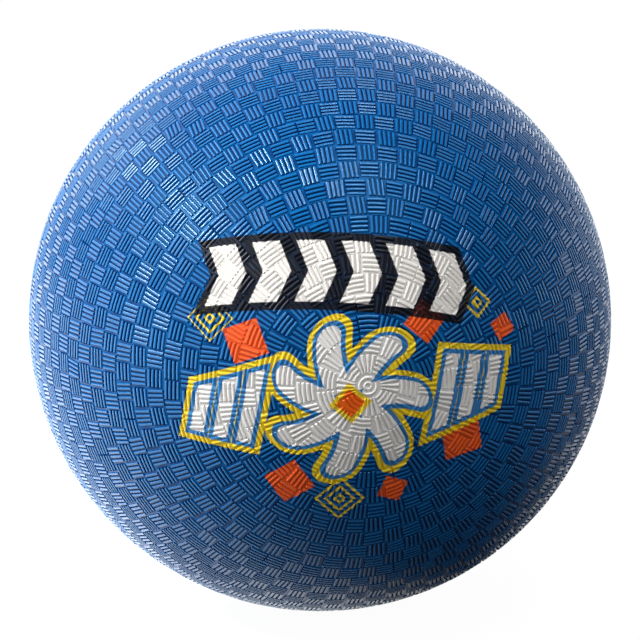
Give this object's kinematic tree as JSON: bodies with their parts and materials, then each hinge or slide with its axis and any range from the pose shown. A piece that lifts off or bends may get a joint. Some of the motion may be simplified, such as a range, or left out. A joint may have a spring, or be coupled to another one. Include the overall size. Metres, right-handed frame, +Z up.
{
  "type": "dodgeball",
  "caption": "Moulded rubber playground ball with a basketweave grip texture, a wound air-filled bladder and a needle inflation valve.",
  "frame": {"origin": "centre of the ball", "axes": "+Y along the valve and mould axis, out of the valve; the printed pole is at -Y; +Z up"},
  "size_m": [0.254, 0.2535, 0.254],
  "materials": {
    "cover_rubber": "satin",
    "ply_rubber": "matte",
    "nylon_thread": "satin",
    "bladder_rubber": "satin",
    "valve_rubber": "matte",
    "plug_rubber": "satin"
  },
  "bodies": {
    "root": {"front_cover": "cover_rubber", "rear_cover": "cover_rubber", "carcass_ply": "ply_rubber", "nylon_winding": "nylon_thread", "bladder": "bladder_rubber", "valve_patch": "valve_rubber", "valve_housing": "valve_rubber", "valve_plug": "plug_rubber"}
  },
  "joints": []
}
